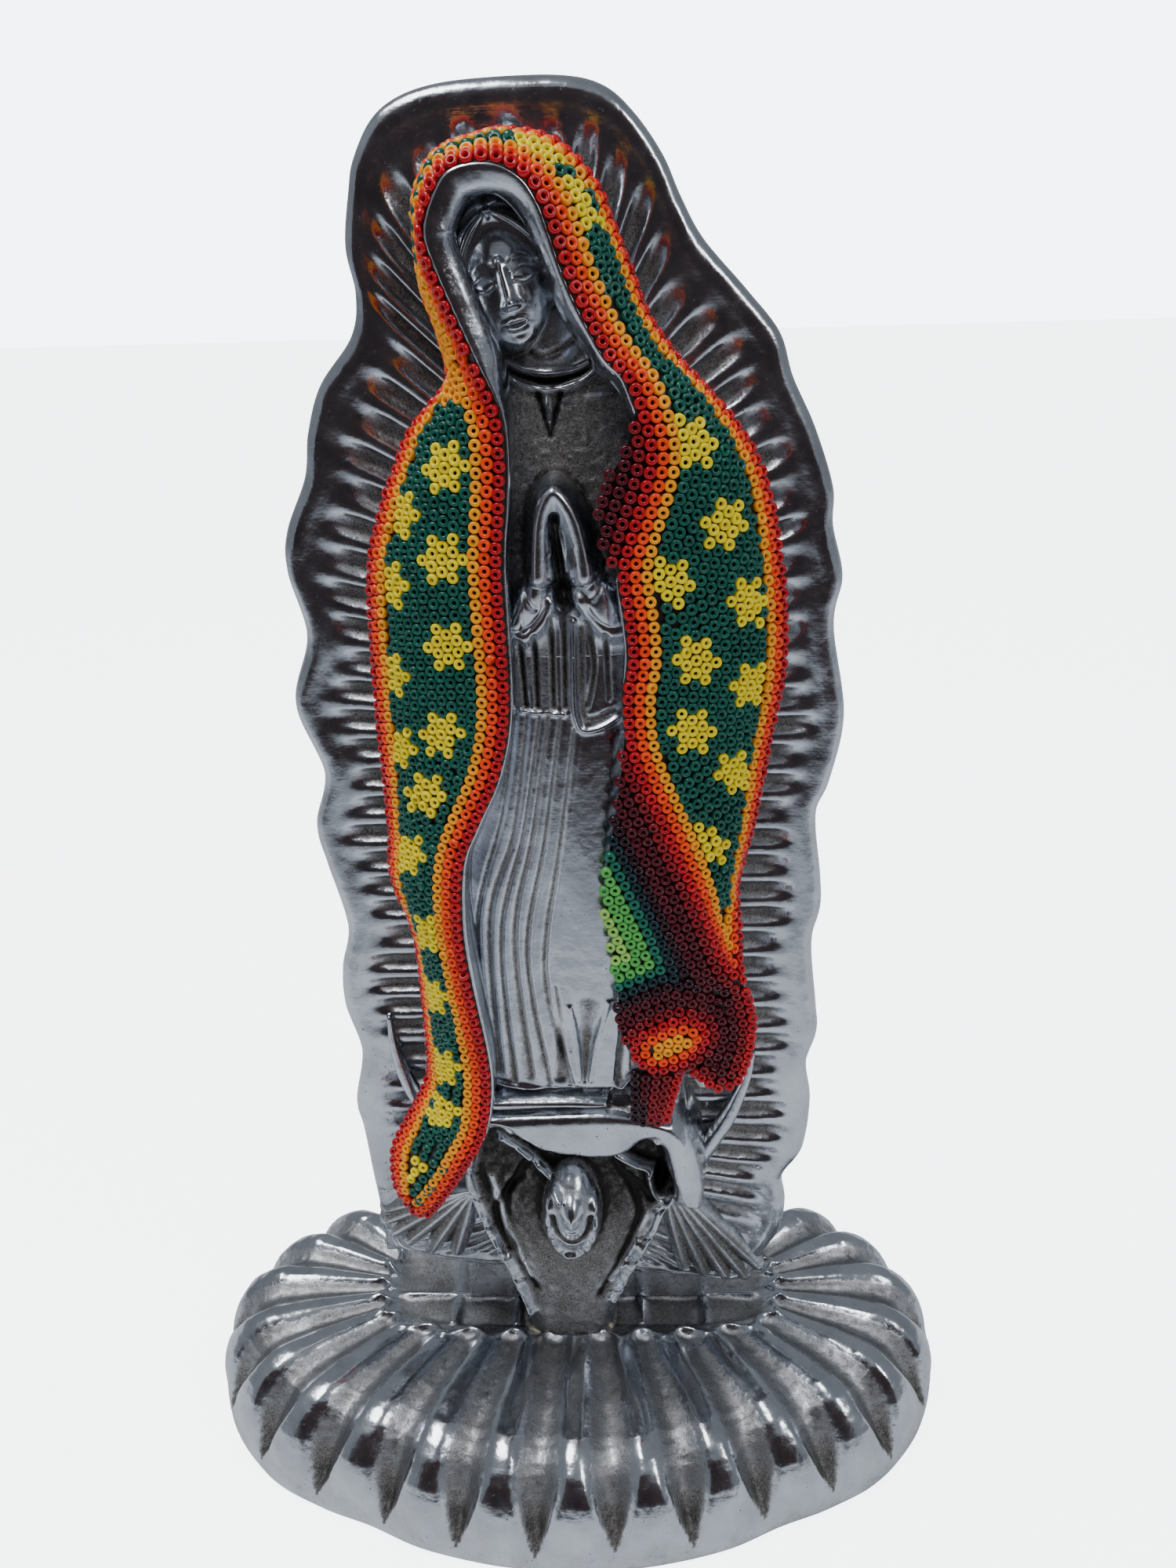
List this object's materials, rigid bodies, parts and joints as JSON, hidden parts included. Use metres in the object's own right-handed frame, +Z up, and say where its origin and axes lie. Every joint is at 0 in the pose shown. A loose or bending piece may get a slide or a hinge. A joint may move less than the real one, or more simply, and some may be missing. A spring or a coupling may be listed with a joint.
{
  "type": "huichol beaded figure",
  "caption": "Cast aluminium plaque with a robed, praying figure on a fluted oval base, its mantle covered with seed beads set in wax.",
  "frame": {"origin": "middle of the base's flat underside", "axes": "+X to the viewer's right, +Y away from the viewer towards the plaque's back, +Z up"},
  "size_m": [0.1662, 0.0891, 0.2706],
  "materials": {
    "polished_aluminium": "polished on the high parts, dark patina in the hollows",
    "epoxy": "cured glue, slightly glossy",
    "wax": "dull dark beeswax",
    "red_beads": "glossy opaque seed bead",
    "orange_beads": "glossy opaque seed bead",
    "gold_beads": "glossy opaque seed bead",
    "yellow_beads": "glossy opaque seed bead",
    "field_beads": "glossy opaque seed bead",
    "dark_red_beads": "glossy opaque seed bead",
    "maroon_beads": "glossy opaque seed bead",
    "black_beads": "glossy opaque seed bead",
    "light_green_beads": "glossy opaque seed bead"
  },
  "bodies": {
    "root": {"base_casting": "polished_aluminium", "figure_casting": "polished_aluminium", "epoxy_joint": "epoxy", "wax_bed_left": "wax", "wax_bed_hood": "wax", "wax_bed_right": "wax", "wax_bed_lining_upper": "wax", "wax_bed_lining_lower": "wax", "wax_bed_corner": "wax", "wax_bed_cuff": "wax", "wax_bed_tail": "wax", "left_red_inner": "red_beads", "left_red_outer": "red_beads", "left_orange_inner": "orange_beads", "left_orange_outer": "orange_beads", "left_gold_inner": "gold_beads", "left_gold_outer": "gold_beads", "left_star_field": "field_beads", "hood_red_inner": "red_beads", "hood_red_outer": "red_beads", "hood_orange_inner": "orange_beads", "hood_orange_outer": "orange_beads", "hood_gold_inner": "gold_beads", "hood_gold_outer": "gold_beads", "hood_star_field": "field_beads", "right_red_inner": "red_beads", "right_red_outer": "red_beads", "right_orange_inner": "orange_beads", "right_orange_outer": "orange_beads", "right_gold_inner": "gold_beads", "right_gold_outer": "gold_beads", "right_star_field": "field_beads", "lining_upper_maroon": "maroon_beads", "lining_dark_red": "dark_red_beads", "lining_maroon": "maroon_beads", "lining_black": "black_beads", "lining_green": "light_green_beads", "corner_lining": "dark_red_beads", "tail_lining": "maroon_beads", "cuff_red": "red_beads", "cuff_orange": "orange_beads", "cuff_yellow": "yellow_beads"}
  },
  "joints": []
}
